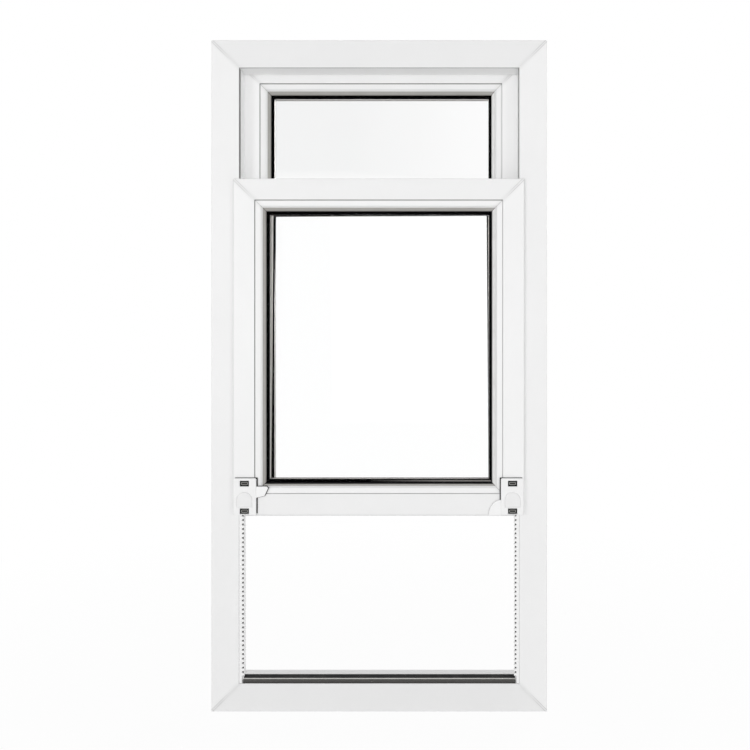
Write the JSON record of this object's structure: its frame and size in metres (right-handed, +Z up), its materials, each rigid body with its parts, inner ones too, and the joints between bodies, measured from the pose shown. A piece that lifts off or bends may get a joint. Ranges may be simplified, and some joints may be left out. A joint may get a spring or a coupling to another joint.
{
  "type": "vertical sliding window",
  "caption": "Vertical sliding window with a white welded frame, a fixed upper light, a raised front sash, toothed side racks and boxed lower sash corners.",
  "frame": {"origin": "middle of the frame's underside, half way through its depth", "axes": "+X to the right seen from the sash side, +Y from the sash side to the back, +Z up"},
  "size_m": [0.6, 0.108, 1.2],
  "materials": {
    "frame_white": "satin extruded plastic",
    "sash_white": "satin extruded plastic",
    "bead_white": "satin extruded plastic",
    "box_white": "moulded plastic",
    "grey_gasket": "matt grey gasket",
    "black_rubber": "matt black rubber",
    "black_spacer": "black edge seal",
    "clear_glass": "clear float glass",
    "rack_nylon": "white nylon",
    "dark_steel": "dark coated strip",
    "black_nylon": "black nylon",
    "pile_grey": "woven pile"
  },
  "bodies": {
    "root": {"corner_box_left": "box_white", "corner_box_right": "box_white", "fixed_bead_bottom": "bead_white", "fixed_bead_left": "bead_white", "fixed_bead_right": "bead_white", "fixed_bead_top": "bead_white", "fixed_gaskets": "grey_gasket", "fixed_glass_back": "clear_glass", "fixed_glass_front": "clear_glass", "fixed_rail_bottom": "frame_white", "fixed_rail_top": "frame_white", "fixed_spacer": "black_spacer", "fixed_stile_left": "frame_white", "fixed_stile_right": "frame_white", "flap_seal_left": "black_rubber", "flap_seal_right": "black_rubber", "frame_head": "frame_white", "frame_jamb_left": "frame_white", "frame_jamb_right": "frame_white", "frame_sill": "frame_white", "latch_block_left": "black_nylon", "latch_block_right": "black_nylon", "lever_left": "box_white", "lever_right": "box_white", "pile_seal_left": "pile_grey", "pile_seal_right": "pile_grey", "rack_insert_left": "dark_steel", "rack_insert_right": "dark_steel", "rack_left": "rack_nylon", "rack_right": "rack_nylon", "sash_bead_bottom": "bead_white", "sash_bead_left": "bead_white", "sash_bead_right": "bead_white", "sash_bead_top": "bead_white", "sash_gaskets": "grey_gasket", "sash_glass_back": "clear_glass", "sash_glass_front": "clear_glass", "sash_rail_bottom": "sash_white", "sash_rail_top": "sash_white", "sash_spacer": "black_spacer", "sash_stile_left": "sash_white", "sash_stile_right": "sash_white", "sill_gasket": "black_rubber", "thumb_pad_left": "box_white", "thumb_pad_right": "box_white"}
  },
  "joints": []
}
